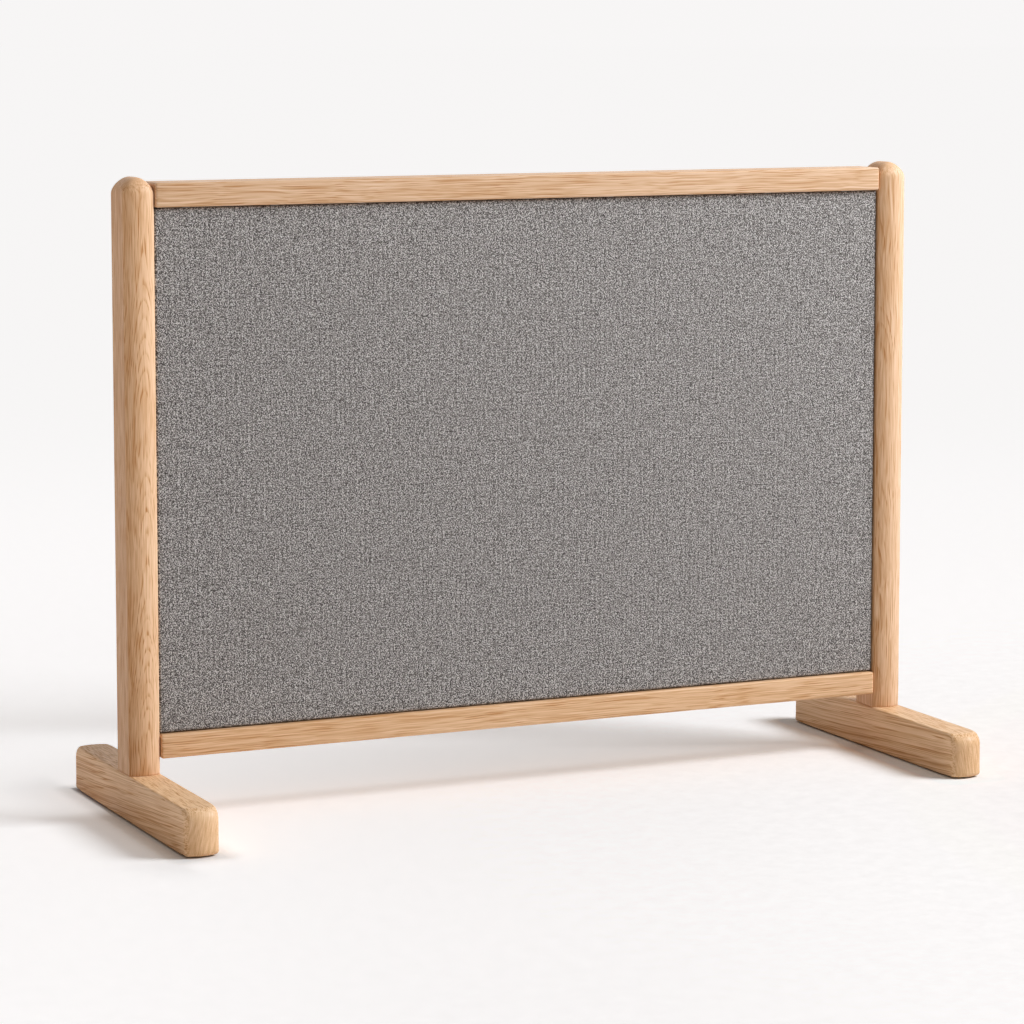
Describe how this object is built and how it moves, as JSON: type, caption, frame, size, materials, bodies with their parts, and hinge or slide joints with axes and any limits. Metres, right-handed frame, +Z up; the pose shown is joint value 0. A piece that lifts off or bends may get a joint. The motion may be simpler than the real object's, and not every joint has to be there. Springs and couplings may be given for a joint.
{
  "type": "acoustic divider screen",
  "caption": "Low free-standing acoustic divider: a landscape fabric-covered panel held in a light oak frame with round-topped posts on long cross feet.",
  "frame": {"origin": "on the floor, midway between the two feet and between their front and back ends; the middle plane of the panel and the posts is at y = +22 mm", "axes": "+X along the panel to the right as seen from the front, the front faces -Y, +Z up"},
  "size_m": [1.204, 0.475, 0.87],
  "materials": {
    "oak": "light oak, planed and sanded, matt to satin clear oil",
    "wool_fabric": "warm mid-grey melange wool weave, matt",
    "softwood": "planed spruce, raw",
    "beech": "raw beech dowel",
    "fibreboard": "dense fibreboard, raw",
    "absorber_felt": "needled polyester felt",
    "zinc_steel": "bright zinc plating",
    "pad_rubber": "dark matt rubber"
  },
  "bodies": {
    "root": {"left_post": "oak", "right_post": "oak", "top_rail": "oak", "bottom_rail": "oak", "left_foot": "oak", "right_foot": "oak", "left_foot_pads": "pad_rubber", "right_foot_pads": "pad_rubber", "foot_bolts": "zinc_steel", "foot_washers": "zinc_steel", "post_inserts": "zinc_steel", "rail_dowels": "beech", "panel_dowels": "beech", "panel_stile_left": "softwood", "panel_stile_right": "softwood", "panel_batten_top": "softwood", "panel_batten_bottom": "softwood", "panel_corner_screws": "zinc_steel", "septum_board": "fibreboard", "front_absorber": "absorber_felt", "back_absorber": "absorber_felt", "front_fabric": "wool_fabric", "back_fabric": "wool_fabric", "front_fabric_staples": "zinc_steel", "back_fabric_staples": "zinc_steel"}
  },
  "joints": []
}
